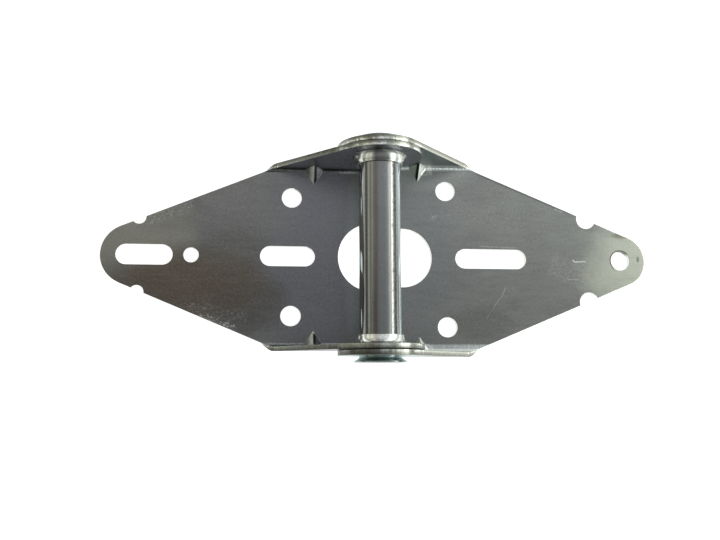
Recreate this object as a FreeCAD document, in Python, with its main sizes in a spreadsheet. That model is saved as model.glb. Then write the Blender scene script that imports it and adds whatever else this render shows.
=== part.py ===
import FreeCAD, Part
import math
import os
import re

import Sketcher

# Garage door hinge of pressed zinc-plated sheet, lying open and flat on its back.
# Frame: the origin is the middle of the hinge axis. The axis runs along Y, the
# outer leaf points along +X, the inner leaf along -X, and the ears rise along +Z.
# Each leaf is drawn pointing along +X, and the inner leaf is then turned round.

DRIVING_SIZES = (
    ("overall_length", 219.2, "tip to tip of the two leaves, lying open"),
    ("tip_difference", 7.2, "how much further the outer leaf reaches"),
    ("sheet_gauge", 1.9, "thickness of the sheet of both leaves"),
    ("bend_inside", 1.4, "radius inside the bend between web and ear"),
    ("axis_height", 21.0, "hinge axis above the backs of the webs"),
    ("web_gap", 1.0, "space between the facing edges of the two webs"),
    ("side_gap", 0.3, "running space between an inner and an outer ear"),
    ("tube_outer", 15.6, "outside diameter of the tube"),
    ("tube_bore", 12.0, "bore of the tube, for a roller stem of 11.1"),
    ("collar_clearance", 0.08, "radial play of the inner leaf on the tube"),
    ("seat_clearance", 0.05, "radial play of the tube in the outer ears"),
    ("flare_radius", 1.4, "radius where the tube starts to flare"),
    ("flare_slope", 62.0, "slope of the flare against the axis, in degrees"),
    ("flare_reach", 2.1, "reach of the flared rim beyond the tube's skin"),
    ("flare_rim", 0.4, "thickness of the flared rim along the axis"),
    ("mouth_depth", 3.0, "depth of the widened mouth of the tube"),
    ("mouth_step", 1.3, "radial widening along its steep inner part"),
    ("lip_depth", 0.9, "depth of its wide outer part"),
    ("collar_height", 3.4, "reach of a collar inward from its ear"),
    ("collar_wall", 0.9, "wall of a collar at its free end"),
    ("collar_sweep", 4.3, "radius of its outside, from the free end to the ear"),
    ("collar_entry", 1.1, "chamfer of the bore on the other face of the ear"),
    ("bolt_hole", 8.0, "diameter of the screw holes and width of the slots"),
    ("pilot_hole", 5.9, "diameter of the small hole of the inner leaf"),
    ("dart_reach", 6.0, "reach of a pressed dart from the ear, along the web"),
    ("dart_spread", 4.3, "half width of a pressed dart in the bend"),
    ("dart_wall", 1.9, "offset of the dent behind a dart"),
    ("dent_spread", 5.4, "half width of that dent at its mouth"),
    ("inner_width", 74.6, "width of the inner leaf over its ears"),
    ("inner_sweep", 2.9, "space between the inner lobes and the facing web"),
    ("inner_slope", 46.5, "slope of the inner ears, in degrees"),
    ("inner_tip_radius", 12.0, "radius of the tip of the inner leaf"),
    ("inner_cut_radius", 13.7, "radius of the half-round cut-out"),
    ("inner_cut_reach", 0.6, "axis to the centre of that cut-out"),
    ("inner_notch_radius", 2.7, "radius of the notches in the edges"),
    ("inner_notch_rise", 0.7, "their centres beyond the edges"),
    ("inner_notch_setback", 14.2, "tip to the notches"),
    ("inner_pair_reach", 32.8, "axis to the pair of screw holes"),
    ("inner_pair_pitch", 47.2, "distance between those two holes"),
    ("inner_dart_reach", 24.0, "axis to the pressed darts"),
    ("inner_slot_length", 21.6, "overall length of both slots"),
    ("inner_slot_reach", 34.2, "axis to the middle of the near slot"),
    ("inner_slot_setback", 16.6, "tip to the middle of the far slot"),
    ("inner_pilot_gap", 7.0, "near end of the far slot to the small hole"),
    ("outer_sweep", 3.3, "space between the outer lobes and the facing web"),
    ("outer_slope", 47.4, "slope of the outer ears, in degrees"),
    ("outer_tip_radius", 10.4, "radius of the tip, round its screw hole"),
    ("outer_cut_radius", 11.9, "radius of the half-round cut-out"),
    ("outer_cut_reach", 11.7, "axis to the centre of that cut-out"),
    ("outer_notch_radius", 4.0, "radius of the notches in the edges"),
    ("outer_notch_rise", 0.2, "their centres beyond the edges"),
    ("outer_notch_setback", 24.4, "tip to the notches"),
    ("outer_pair_reach", 29.6, "axis to the pair of screw holes"),
    ("outer_pair_pitch", 55.5, "distance between those two holes"),
    ("outer_dart_reach", 18.1, "axis to the pressed darts"),
    ("outer_slot_length", 29.4, "overall length of the slot"),
    ("outer_slot_reach", 48.0, "axis to the middle of the slot"),
)

document = FreeCAD.newDocument("garage_door_hinge")
sheet = document.addObject("Spreadsheet::Sheet", "Sizes")
for row, (alias, millimetres, note) in enumerate(DRIVING_SIZES, start=1):
    sheet.set(f"A{row}", alias)
    sheet.set(f"B{row}", str(millimetres))
    sheet.set(f"C{row}", note)
    sheet.setAlias(f"B{row}", alias)
document.recompute()

ALIAS = re.compile(r"\b[a-z]+(?:_[a-z]+)+\b")
MARGIN = 1.0
FULL_TURN = 360
QUARTER_TURN = 90
THROAT_SHARE = 0.8


def formula(text):
    """The text as an expression: every alias in it is looked up in the sheet."""
    return ALIAS.sub(lambda match: "Sizes." + match.group(0), text)


def length(text):
    """The present value of a formula, in millimetres or degrees."""
    value = sheet.evalExpression(formula(text))
    return float(getattr(value, "Value", value))


def bind(target, name, text):
    target.setExpression(name, formula(text))


def origin_plane(body, role):
    return next(plane for plane in body.Origin.OriginFeatures if plane.Role == role)


def add_sketch(body, name, role, offset=("0", "0", "0"), turn=0):
    """A sketch on an origin plane, shifted by three formulas and turned about X."""
    sketch = body.newObject("Sketcher::SketchObject", name)
    sketch.AttachmentSupport = [(origin_plane(body, role), "")]
    sketch.MapMode = "FlatFace"
    rotation = FreeCAD.Rotation(FreeCAD.Vector(1, 0, 0), turn)
    sketch.AttachmentOffset = FreeCAD.Placement(FreeCAD.Vector(), rotation)
    for axis, text in zip("xyz", offset):
        if text != "0":
            bind(sketch, f"AttachmentOffset.Base.{axis}", text)
    return sketch


def point(across, up):
    """A sketch point from two formulas."""
    return FreeCAD.Vector(length(across), length(up), 0)


def constrain(sketch, kind, *what, text=None):
    number = sketch.addConstraint(Sketcher.Constraint(kind, *what))
    if text is not None:
        sketch.renameConstraint(number, f"size_{number}")
        bind(sketch, f"Constraints.size_{number}", text)


def fix_point(sketch, edge, end, across, up):
    """Holds one end of an edge at a place given by two formulas."""
    here = point(across, up)
    for kind, text, value in (("DistanceX", across, here.x), ("DistanceY", up, here.y)):
        if text == "0":
            axis_edge = -2 if kind == "DistanceX" else -1
            constrain(sketch, "PointOnObject", edge, end, axis_edge)
        else:
            constrain(sketch, kind, -1, 1, edge, end, value, text=text)


def add_circle(sketch, across, up, radius):
    circle = Part.Circle(point(across, up), FreeCAD.Vector(0, 0, 1), length(radius))
    edge = sketch.addGeometry(circle, False)
    constrain(sketch, "Radius", edge, length(radius), text=radius)
    fix_point(sketch, edge, 3, across, up)


def add_polygon(sketch, corners):
    """A closed outline of straight lines through corners given as formulas."""
    ends = [point(*corner) for corner in corners]
    first = sketch.GeometryCount
    count = len(ends)
    for here in range(count):
        line = Part.LineSegment(ends[here], ends[(here + 1) % count])
        sketch.addGeometry(line, False)
    for here in range(count):
        edge = first + here
        following = first + (here + 1) % count
        constrain(sketch, "Coincident", edge, 2, following, 1)
        fix_point(sketch, edge, 1, *corners[here])


def arc_between(centre, radius, start, end):
    """An arc from one point to another, counter-clockwise round its centre."""
    circle = Part.Circle(centre, FreeCAD.Vector(0, 0, 1), radius)
    first = math.atan2(start.y - centre.y, start.x - centre.x)
    last = math.atan2(end.y - centre.y, end.x - centre.x)
    if last <= first:
        last += 2 * math.pi
    return Part.ArcOfCircle(circle, first, last)


def add_slot(sketch, reach, overall, width):
    """A slot with round ends along the leaf, centred on the middle line."""
    radius = f"({width}) / 2"
    near = f"{reach} - ({overall}) / 2 + {radius}"
    far = f"{reach} + ({overall}) / 2 - {radius}"
    size = length(radius)
    left = point(near, "0")
    right = point(far, "0")
    up = FreeCAD.Vector(0, size, 0)
    top = sketch.addGeometry(Part.LineSegment(right + up, left + up), False)
    near_end = sketch.addGeometry(arc_between(left, size, left + up, left - up), False)
    bottom = sketch.addGeometry(Part.LineSegment(left - up, right - up), False)
    far_end = sketch.addGeometry(arc_between(right, size, right - up, right + up), False)
    for before, after in (
        ((top, 2), (near_end, 1)),
        ((near_end, 2), (bottom, 1)),
        ((bottom, 2), (far_end, 1)),
        ((far_end, 2), (top, 1)),
    ):
        constrain(sketch, "Tangent", *before, *after)
    fix_point(sketch, near_end, 3, near, "0")
    fix_point(sketch, far_end, 3, far, "0")
    constrain(sketch, "Radius", near_end, size, text=radius)


def pad(body, name, sketch, depth):
    feature = body.newObject("PartDesign::Pad", name)
    feature.Profile = sketch
    bind(feature, "Length", depth)
    return feature


def cut_through(body, name, sketch):
    """A pocket through everything, both ways from its sketch."""
    feature = body.newObject("PartDesign::Pocket", name)
    feature.Profile = sketch
    feature.Type = "ThroughAll"
    feature.SideType = "Symmetric"
    return feature


def turned(body, kind, name, sketch):
    """A full turn of a profile about the hinge axis, added or taken away."""
    feature = body.newObject(kind, name)
    feature.Profile = sketch
    feature.ReferenceAxis = (sketch, ["H_Axis"])
    feature.Angle = FULL_TURN
    return feature


def mirror(body, name, features):
    """The same features on the other side of the middle plane of the leaf."""
    feature = body.newObject("PartDesign::Mirrored", name)
    feature.Originals = features
    feature.MirrorPlane = (origin_plane(body, "XZ_Plane"), [""])
    body.Tip = feature
    return feature


def leaf_lines(leaf):
    """The formulas that one leaf's features share, named by what they measure."""
    overall, tip_reach = {
        "inner": ("(inner_width / 2)", "((overall_length - tip_difference) / 2)"),
        "outer": (
            "(inner_width / 2 + side_gap + sheet_gauge)",
            "((overall_length + tip_difference) / 2)",
        ),
    }[leaf]
    lines = {
        "ear_outside": overall,
        "ear_inside": f"({overall} - sheet_gauge)",
        "bend_line": f"({overall} - sheet_gauge - bend_inside)",
        "back": "(-axis_height)",
        "web_top": "(sheet_gauge - axis_height)",
        "bend_top": "(sheet_gauge + bend_inside - axis_height)",
        "web_edge": "(web_gap / 2)",
        "lobe": f"(axis_height - sheet_gauge - {leaf}_sweep)",
        "slope": f"{leaf}_slope",
        "throat": f"(({leaf}_sweep - bend_inside) * {THROAT_SHARE})",
        "tip_reach": tip_reach,
        "notch_reach": f"({tip_reach} - {leaf}_notch_setback)",
    }
    lines["ear_foot"] = (
        f"(({lines['lobe']} - {lines['bend_top']} * cos({leaf}_slope)) / sin({leaf}_slope))"
    )
    lines["bend_run"] = f"((bend_inside + sheet_gauge) * pi / 2 / tan({leaf}_slope))"
    lines["bend_end"] = f"({lines['ear_foot']} + {lines['bend_run']})"
    lines["tip_centre"] = f"({tip_reach} - {leaf}_tip_radius)"
    run = f"({lines['tip_centre']} - {lines['bend_end']})"
    lines["taper"] = (
        f"(atan({lines['bend_line']} / {run})"
        f" - asin({leaf}_tip_radius / sqrt(pow({run}; 2) + pow({lines['bend_line']}; 2))))"
    )
    return lines


def make_web(body, leaf, lines):
    """The flat web: straight beside the bend, then tapering to a round tip."""
    sketch = add_sketch(body, "web_outline", "XY_Plane", ("0", "0", lines["back"]))
    edge_low = point(lines["web_edge"], "-" + lines["bend_line"])
    bend_low = point(lines["bend_end"], "-" + lines["bend_line"])
    bend_high = FreeCAD.Vector(bend_low.x, -bend_low.y, 0)
    edge_high = FreeCAD.Vector(edge_low.x, -edge_low.y, 0)
    centre = point(lines["tip_centre"], "0")
    radius = length(f"{leaf}_tip_radius")
    taper = math.radians(length(lines["taper"]))
    tip_high = centre + FreeCAD.Vector(math.sin(taper), math.cos(taper), 0) * radius
    tip_low = FreeCAD.Vector(tip_high.x, -tip_high.y, 0)
    side_low = sketch.addGeometry(Part.LineSegment(edge_low, bend_low), False)
    taper_low = sketch.addGeometry(Part.LineSegment(bend_low, tip_low), False)
    tip = sketch.addGeometry(arc_between(centre, radius, tip_low, tip_high), False)
    taper_high = sketch.addGeometry(Part.LineSegment(tip_high, bend_high), False)
    side_high = sketch.addGeometry(Part.LineSegment(bend_high, edge_high), False)
    edge = sketch.addGeometry(Part.LineSegment(edge_high, edge_low), False)
    constrain(sketch, "Coincident", side_low, 2, taper_low, 1)
    constrain(sketch, "Tangent", taper_low, 2, tip, 1)
    constrain(sketch, "Tangent", tip, 2, taper_high, 1)
    constrain(sketch, "Coincident", taper_high, 2, side_high, 1)
    constrain(sketch, "Coincident", side_high, 2, edge, 1)
    constrain(sketch, "Coincident", edge, 2, side_low, 1)
    fix_point(sketch, side_low, 1, lines["web_edge"], "-" + lines["bend_line"])
    fix_point(sketch, taper_low, 1, lines["bend_end"], "-" + lines["bend_line"])
    fix_point(sketch, side_high, 1, lines["bend_end"], lines["bend_line"])
    fix_point(sketch, edge, 1, lines["web_edge"], lines["bend_line"])
    fix_point(sketch, tip, 3, lines["tip_centre"], "0")
    constrain(sketch, "Radius", tip, radius, text=f"{leaf}_tip_radius")
    return pad(body, "web", sketch, "sheet_gauge")


def make_ear(body, lines):
    """One ear: a lobe round the axis, a straight slope and a throat at the web's edge."""
    sketch = add_sketch(body, "ear_outline", "XZ_Plane", ("0", "0", "-" + lines["ear_outside"]))
    lobe = length(lines["lobe"])
    throat = length(lines["throat"])
    slope = math.radians(length(lines["slope"]))
    axis = FreeCAD.Vector()
    edge_x = length(lines["web_edge"])
    foot_z = length(lines["bend_top"])
    centre_x = edge_x - throat
    throat_centre = FreeCAD.Vector(centre_x, -math.sqrt((lobe + throat) ** 2 - centre_x**2), 0)
    slope_top = FreeCAD.Vector(math.sin(slope), math.cos(slope), 0) * lobe
    slope_foot = FreeCAD.Vector(length(lines["ear_foot"]), foot_z, 0)
    lobe_end = throat_centre * (lobe / (lobe + throat))
    throat_end = throat_centre + FreeCAD.Vector(throat, 0, 0)
    edge_foot = FreeCAD.Vector(edge_x, foot_z, 0)
    rise = sketch.addGeometry(Part.LineSegment(slope_foot, slope_top), False)
    round_end = sketch.addGeometry(arc_between(axis, lobe, slope_top, lobe_end), False)
    hollow = sketch.addGeometry(
        arc_between(throat_centre, throat, throat_end, lobe_end), False)
    edge = sketch.addGeometry(Part.LineSegment(throat_end, edge_foot), False)
    foot = sketch.addGeometry(Part.LineSegment(edge_foot, slope_foot), False)
    constrain(sketch, "Tangent", rise, 2, round_end, 1)
    constrain(sketch, "Tangent", round_end, 2, hollow, 2)
    constrain(sketch, "Tangent", hollow, 1, edge, 1)
    constrain(sketch, "Coincident", edge, 2, foot, 1)
    constrain(sketch, "Coincident", foot, 2, rise, 1)
    constrain(sketch, "Coincident", round_end, 3, -1, 1)
    constrain(sketch, "Radius", round_end, lobe, text=lines["lobe"])
    constrain(sketch, "Radius", hollow, throat, text=lines["throat"])
    fix_point(sketch, foot, 1, lines["web_edge"], lines["bend_top"])
    fix_point(sketch, rise, 1, lines["ear_foot"], lines["bend_top"])
    return pad(body, "ear", sketch, "sheet_gauge")


def make_bend(body, lines):
    """The bend between web and ear, a quarter ring drawn across the leaf."""
    sketch = add_sketch(body, "bend_section", "YZ_Plane", ("0", "0", lines["web_edge"]))
    centre = point(lines["bend_line"], lines["bend_top"])
    inside = length("bend_inside")
    outside = length("bend_inside + sheet_gauge")
    down = FreeCAD.Vector(0, -1, 0)
    out = FreeCAD.Vector(1, 0, 0)
    under = sketch.addGeometry(
        arc_between(centre, outside, centre + down * outside, centre + out * outside), False)
    top = sketch.addGeometry(
        Part.LineSegment(centre + out * outside, centre + out * inside), False)
    over = sketch.addGeometry(
        arc_between(centre, inside, centre + down * inside, centre + out * inside), False)
    side = sketch.addGeometry(
        Part.LineSegment(centre + down * inside, centre + down * outside), False)
    constrain(sketch, "Coincident", under, 2, top, 1)
    constrain(sketch, "Coincident", top, 2, over, 2)
    constrain(sketch, "Coincident", over, 1, side, 1)
    constrain(sketch, "Coincident", side, 2, under, 1)
    constrain(sketch, "Coincident", under, 3, over, 3)
    constrain(sketch, "Horizontal", top)
    constrain(sketch, "Vertical", side)
    constrain(sketch, "Radius", under, outside, text="bend_inside + sheet_gauge")
    constrain(sketch, "Radius", over, inside, text="bend_inside")
    fix_point(sketch, under, 3, lines["bend_line"], lines["bend_top"])
    constrain(sketch, "PointOnObject", under, 3, top)
    constrain(sketch, "PointOnObject", under, 3, side)
    return pad(body, "bend", sketch, f"{lines['bend_end']} - {lines['web_edge']}")


def trim_bend(body, lines):
    """The cut edge that crosses the bend: straight in the flat sheet, so a helix."""
    offset = ("0", lines["bend_line"], lines["bend_top"])
    sketch = add_sketch(body, "trim_section", "XY_Plane", offset, -QUARTER_TURN)
    near = lines["bend_end"]
    far = f"{lines['bend_end']} + {lines['bend_run']} + {MARGIN}"
    inner = "bend_inside / 2"
    outer = f"bend_inside + sheet_gauge + {MARGIN}"
    add_polygon(sketch, ((near, inner), (far, inner), (far, outer), (near, outer)))
    feature = body.newObject("PartDesign::SubtractiveHelix", "bend_trim")
    feature.Profile = sketch
    feature.ReferenceAxis = (sketch, ["H_Axis"])
    feature.Mode = "height-turns-angle"
    feature.Turns = QUARTER_TURN / FULL_TURN
    feature.LeftHanded = True
    feature.Reversed = True
    bind(feature, "Height", lines["bend_run"])
    return feature


def add_pyramids(body, kind, name, place, spread, corners, root):
    """Two pyramids back to back: from one triangle across the leaf to a point each way."""
    base = add_sketch(body, f"{name}_section", "YZ_Plane", ("0", "0", place))
    add_polygon(base, (*corners, root))
    halves = []
    for side in ("-", "+"):
        offset = ("0", "0", f"{place} {side} {spread}")
        tip = add_sketch(body, f"{name}_tip", "YZ_Plane", offset)
        spot = tip.addGeometry(Part.Point(point(*root)), False)
        fix_point(tip, spot, 1, *root)
        half = body.newObject(kind, name)
        half.Profile = base
        half.Sections = [(tip, "Vertex1")]
        half.Ruled = True
        halves.append(half)
    return halves


def make_dart(body, leaf, lines):
    """A dart pressed into the bend from outside: a ridge within, a dent behind it."""
    place = f"{leaf}_dart_reach"
    ear = lines["ear_inside"]
    web = lines["web_top"]
    buried = "sheet_gauge / 2"
    middle = f"(bend_inside + {buried}) * sqrt(0.5)"
    ridge_corners = (
        (f"{ear} - dart_reach - {buried}", f"{web} - {buried}"),
        (f"{ear} + {buried}", f"{web} + dart_reach + {buried}"),
    )
    ridge_root = (f"{lines['bend_line']} + {middle}", f"{lines['bend_top']} - {middle}")
    ridge = add_pyramids(
        body, "PartDesign::AdditiveLoft", "dart_ridge",
        place, "dart_spread", ridge_corners, ridge_root)
    shift = "dart_wall * sqrt(2)"
    clear = f"(sheet_gauge + {MARGIN})"
    dent_corners = (
        (f"{ear} - dart_reach + {shift} - {clear}", f"{web} - {clear}"),
        (f"{ear} + {clear}", f"{web} + dart_reach - {shift} + {clear}"),
    )
    dent_root = (f"{ear} + {clear}", f"{web} - {clear}")
    dent = add_pyramids(
        body, "PartDesign::SubtractiveLoft", "dart_dent",
        place, "dent_spread", dent_corners, dent_root)
    return ridge + dent


def make_openings(body, leaf, lines):
    """What both leaves have: the half-round cut-out, edge notches and a pair of holes."""
    offset = ("0", "0", lines["back"])
    sketch = add_sketch(body, "cut_out_outline", "XY_Plane", offset)
    reach = f"{leaf}_cut_reach * 2"
    add_slot(sketch, "0", f"{reach} + {leaf}_cut_radius * 2", f"{leaf}_cut_radius * 2")
    cut_through(body, "cut_out", sketch)
    sketch = add_sketch(body, "notch_outline", "XY_Plane", offset)
    across = f"({lines['notch_reach']} - {lines['bend_end']}) * tan({lines['taper']})"
    rise = f"{leaf}_notch_rise / cos({lines['taper']})"
    notch_side = f"({lines['bend_line']} - {across} + {rise})"
    for side in ("", "-"):
        add_circle(sketch, lines["notch_reach"], side + notch_side, f"{leaf}_notch_radius")
    cut_through(body, "notches", sketch)
    sketch = add_sketch(body, "pair_outline", "XY_Plane", offset)
    for side in ("", "-"):
        add_circle(sketch, f"{leaf}_pair_reach", f"{side}({leaf}_pair_pitch / 2)", "bolt_hole / 2")
    cut_through(body, "screw_hole_pair", sketch)


def make_folded_leaf(label, leaf):
    """The web, both ears and bends, darts and common openings of one leaf."""
    body = document.addObject("PartDesign::Body", label)
    body.Label = label
    lines = leaf_lines(leaf)
    make_web(body, leaf, lines)
    ear = make_ear(body, lines)
    bend = make_bend(body, lines)
    trim = trim_bend(body, lines)
    mirror(body, "ears", [ear, bend, trim])
    make_openings(body, leaf, lines)
    darts = make_dart(body, leaf, lines)
    mirror(body, "darts", darts)
    return body, lines


def make_inner_leaf():
    """The narrow leaf: its ears run on the tube on collars drawn inward."""
    body, lines = make_folded_leaf("inner_leaf", "inner")
    inside = lines["ear_inside"]
    outside = lines["ear_outside"]
    bore = "(tube_outer / 2 + collar_clearance)"
    wall = f"({bore} + collar_wall)"
    section = add_sketch(body, "collar_section", "YZ_Plane")
    end_y = f"{inside} - collar_height"
    centre_r = f"({wall} + collar_sweep)"
    root_r = f"({centre_r} - sqrt(pow(collar_sweep; 2) - pow(collar_height; 2)))"
    buried_y = f"({inside} + sheet_gauge / 2)"
    places = (
        (inside, root_r),
        (buried_y, root_r),
        (buried_y, f"{bore} / 2"),
        (end_y, f"{bore} / 2"),
        (end_y, wall),
    )
    spots = [point(*place) for place in places]
    edges = [
        section.addGeometry(Part.LineSegment(here, following), False)
        for here, following in zip(spots, spots[1:])
    ]
    sweep = section.addGeometry(
        arc_between(point(end_y, centre_r), length("collar_sweep"), spots[-1], spots[0]), False)
    for before, after in zip(edges, edges[1:]):
        constrain(section, "Coincident", before, 2, after, 1)
    constrain(section, "Coincident", edges[-1], 2, sweep, 1)
    constrain(section, "Coincident", sweep, 2, edges[0], 1)
    for edge, place in zip(edges, places):
        fix_point(section, edge, 1, *place)
    constrain(section, "Radius", sweep, length("collar_sweep"), text="collar_sweep")
    fix_point(section, sweep, 1, end_y, wall)
    collar = turned(body, "PartDesign::Revolution", "collar", section)
    section = add_sketch(body, "bore_section", "YZ_Plane")
    core_end = f"{inside} - collar_height - {MARGIN}"
    far = f"{outside} + {MARGIN}"
    add_polygon(section, (
        (core_end, "0"),
        (far, "0"),
        (far, f"{bore} + collar_entry"),
        (outside, f"{bore} + collar_entry"),
        (f"{outside} - collar_entry", bore),
        (core_end, bore),
    ))
    bore_cut = turned(body, "PartDesign::Groove", "collar_bore", section)
    mirror(body, "collars", [collar, bore_cut])
    sketch = add_sketch(body, "slot_outline", "XY_Plane", ("0", "0", lines["back"]))
    add_slot(sketch, "inner_slot_reach", "inner_slot_length", "bolt_hole")
    far_slot = f"({lines['tip_reach']} - inner_slot_setback)"
    add_slot(sketch, far_slot, "inner_slot_length", "bolt_hole")
    pilot = f"({far_slot} - inner_slot_length / 2 - inner_pilot_gap)"
    add_circle(sketch, pilot, "0", "pilot_hole / 2")
    cut_through(body, "slots_and_pilot_hole", sketch)
    half_turn = FreeCAD.Rotation(FreeCAD.Vector(0, 0, 1), FULL_TURN / 2)
    body.Placement = FreeCAD.Placement(FreeCAD.Vector(), half_turn)
    return body


def make_outer_leaf():
    """The wide leaf: plain holes in its ears hold the tube."""
    body, lines = make_folded_leaf("outer_leaf", "outer")
    sketch = add_sketch(body, "seat_outline", "XZ_Plane")
    add_circle(sketch, "0", "0", "tube_outer / 2 + seat_clearance")
    cut_through(body, "tube_seats", sketch)
    sketch = add_sketch(body, "slot_outline", "XY_Plane", ("0", "0", lines["back"]))
    add_slot(sketch, "outer_slot_reach", "outer_slot_length", "bolt_hole")
    add_circle(sketch, lines["tip_centre"], "0", "bolt_hole / 2")
    cut_through(body, "slot_and_tip_hole", sketch)
    return body


def make_tube():
    """The tube through all four ears, with both ends flared outside the outer ears."""
    body = document.addObject("PartDesign::Body", "hinge_tube")
    body.Label = "hinge_tube"
    ear = leaf_lines("outer")["ear_outside"]
    flare_y = f"({ear} + seat_clearance)"
    outside = "(tube_outer / 2)"
    bore = "(tube_bore / 2)"
    rim_r = f"({outside} + flare_reach)"
    curl_y = f"({flare_y} + flare_radius * sin(flare_slope))"
    curl_r = f"({outside} + flare_radius * (1 - cos(flare_slope)))"
    rim_y = f"({curl_y} + ({rim_r} - {curl_r}) / tan(flare_slope))"
    end_y = f"({rim_y} + flare_rim)"
    sketch = add_sketch(body, "tube_section", "YZ_Plane")
    places = (
        ("0", bore),
        (f"{end_y} - mouth_depth", bore),
        (f"{end_y} - lip_depth", f"{bore} + mouth_step"),
        (end_y, rim_r),
        (rim_y, rim_r),
        (curl_y, curl_r),
    )
    spots = [point(*place) for place in places]
    edges = [
        sketch.addGeometry(Part.LineSegment(here, following), False)
        for here, following in zip(spots, spots[1:])
    ]
    curl_centre = point(flare_y, f"{outside} + flare_radius")
    skin_end = point(flare_y, outside)
    skin_start = point("0", outside)
    curl = sketch.addGeometry(
        arc_between(curl_centre, length("flare_radius"), skin_end, spots[-1]), False)
    skin = sketch.addGeometry(Part.LineSegment(skin_end, skin_start), False)
    middle = sketch.addGeometry(Part.LineSegment(skin_start, spots[0]), False)
    for before, after in zip(edges, edges[1:]):
        constrain(sketch, "Coincident", before, 2, after, 1)
    constrain(sketch, "Coincident", edges[-1], 2, curl, 2)
    constrain(sketch, "Tangent", curl, 1, skin, 1)
    constrain(sketch, "Coincident", skin, 2, middle, 1)
    constrain(sketch, "Coincident", middle, 2, edges[0], 1)
    for edge, place in zip(edges, places):
        fix_point(sketch, edge, 1, *place)
    fix_point(sketch, curl, 3, flare_y, f"{outside} + flare_radius")
    fix_point(sketch, curl, 2, curl_y, curl_r)
    fix_point(sketch, skin, 2, "0", outside)
    half = turned(body, "PartDesign::Revolution", "tube_half", sketch)
    mirror(body, "tube", [half])
    return body


def check(bodies):
    """Stops where a feature failed or a piece isn't one valid solid."""
    for item in document.Objects:
        if "Invalid" in item.State or "Error" in item.State:
            raise RuntimeError(f"{item.Name} failed: {item.State}")
    for body in bodies:
        shape = body.Shape
        if shape.isNull() or not shape.isValid() or len(shape.Solids) != 1:
            raise RuntimeError(f"{body.Label} isn't one valid solid")


pieces = (make_inner_leaf(), make_outer_leaf(), make_tube())
document.recompute()
check(pieces)
os.makedirs("parts", exist_ok=True)
for piece in pieces:
    piece.Shape.exportStep(f"parts/{piece.Label}.step")
    bounds = piece.Shape.BoundBox
    print(piece.Label, round(piece.Shape.Volume, 1), bounds)
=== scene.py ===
import math

import bpy
from bpy.props import FloatProperty, FloatVectorProperty, PointerProperty
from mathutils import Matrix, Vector

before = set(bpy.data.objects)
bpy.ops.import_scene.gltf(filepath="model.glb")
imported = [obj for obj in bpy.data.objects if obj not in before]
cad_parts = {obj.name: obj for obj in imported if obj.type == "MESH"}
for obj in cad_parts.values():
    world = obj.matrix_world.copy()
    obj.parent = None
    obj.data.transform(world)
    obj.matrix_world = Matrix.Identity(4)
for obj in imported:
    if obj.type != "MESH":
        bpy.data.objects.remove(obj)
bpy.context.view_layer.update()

bl_info = {
    "name": "Garage door hinge finish",
    "version": (1, 0, 0),
    "blender": (4, 5, 0),
    "location": "3D View > Sidebar > Hinge",
    "description": "Zinc finishes, studio and camera for a sectional door hinge",
    "category": "Object",
}

MM = 0.001

# Colours as sockets take them.
WHITE = (1.0, 1.0, 1.0, 1.0)
# Dark of the zinc's grains and specks, and the colour of painted shade and painted shadows.
DARK_GRAIN_AND_SHADE = (0.018, 0.018, 0.016, 1.0)
PIT = (0.06, 0.06, 0.05, 1.0)
DARK_BROWN = (0.06, 0.05, 0.035, 1.0)

# Display colour of the palest specks on the sheet.
SPECK = (0.80, 0.80, 0.78)

# Lengths in millimetres. The axis of the tube is the Y axis, and Z points up.
AXIS_HEIGHT = 21.0
SHEET = 1.9
BEND_INSIDE = 1.4
WEB_FRONT = SHEET - AXIS_HEIGHT
BEND_TOP = WEB_FRONT + BEND_INSIDE
INNER_EARS = 35.4
OUTER_EARS = 37.6
INNER_DART = -24.0
OUTER_DART = 18.1
COLLAR_RADIUS = 10.3
LOBE_RADIUS = 17.4
TIP_HOLE_RADIUS = 4.0
FLARE_START = 39.0
TUBE_RIM = 41.65
FLOOR_GAP = 0.15

COLLAR_ROUGHNESS = 0.18

# Sizes of the studio in metres, and how white and how bright the paper is.
FLOOR_SIZE = 0.56
LAMP_SIZE = (1.0, 0.12)
PAPER = 0.75
PAPER_GLOW = 0.74

# Colour of the dome by the angle about Y in degrees: 0 overhead, 90 towards the outer leaf.
DIRECTION_STOPS = (
    (-180, (0.36, 0.36, 0.35)),
    (-118, (0.36, 0.36, 0.33)),
    (-100, (0.29, 0.29, 0.26)),
    (-87, (0.32, 0.32, 0.28)),
    (-74, (0.48, 0.49, 0.42)),
    (-60, (0.40, 0.42, 0.35)),
    (-50, (0.78, 0.78, 0.66)),
    (-43, (0.47, 0.45, 0.39)),
    (-27, (0.34, 0.325, 0.30)),
    (-15, (0.48, 0.47, 0.49)),
    (-5, (0.52, 0.54, 0.56)),
    (18, (0.54, 0.56, 0.58)),
    (35, (0.70, 0.75, 0.74)),
    (42, (1.20, 1.26, 1.20)),
    (48, (1.90, 2.00, 1.88)),
    (57, (1.60, 1.68, 1.58)),
    (68, (1.75, 1.80, 1.70)),
    (75, (1.15, 1.18, 1.10)),
    (82, (0.42, 0.43, 0.40)),
    (90, (0.58, 0.61, 0.59)),
    (98, (0.45, 0.49, 0.48)),
    (180, (0.30, 0.31, 0.31)),
)

# Level of the dome by the Y part of the direction.
ALONG_STOPS = (
    (-1.0, 1.20),
    (-0.5, 1.50),
    (-0.25, 1.35),
    (-0.06, 0.78),
    (0.0, 0.80),
    (0.1, 0.92),
    (0.235, 1.22),
    (0.3, 1.32),
    (0.45, 1.40),
    (0.75, 1.10),
    (1.0, 0.60),
)


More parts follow.
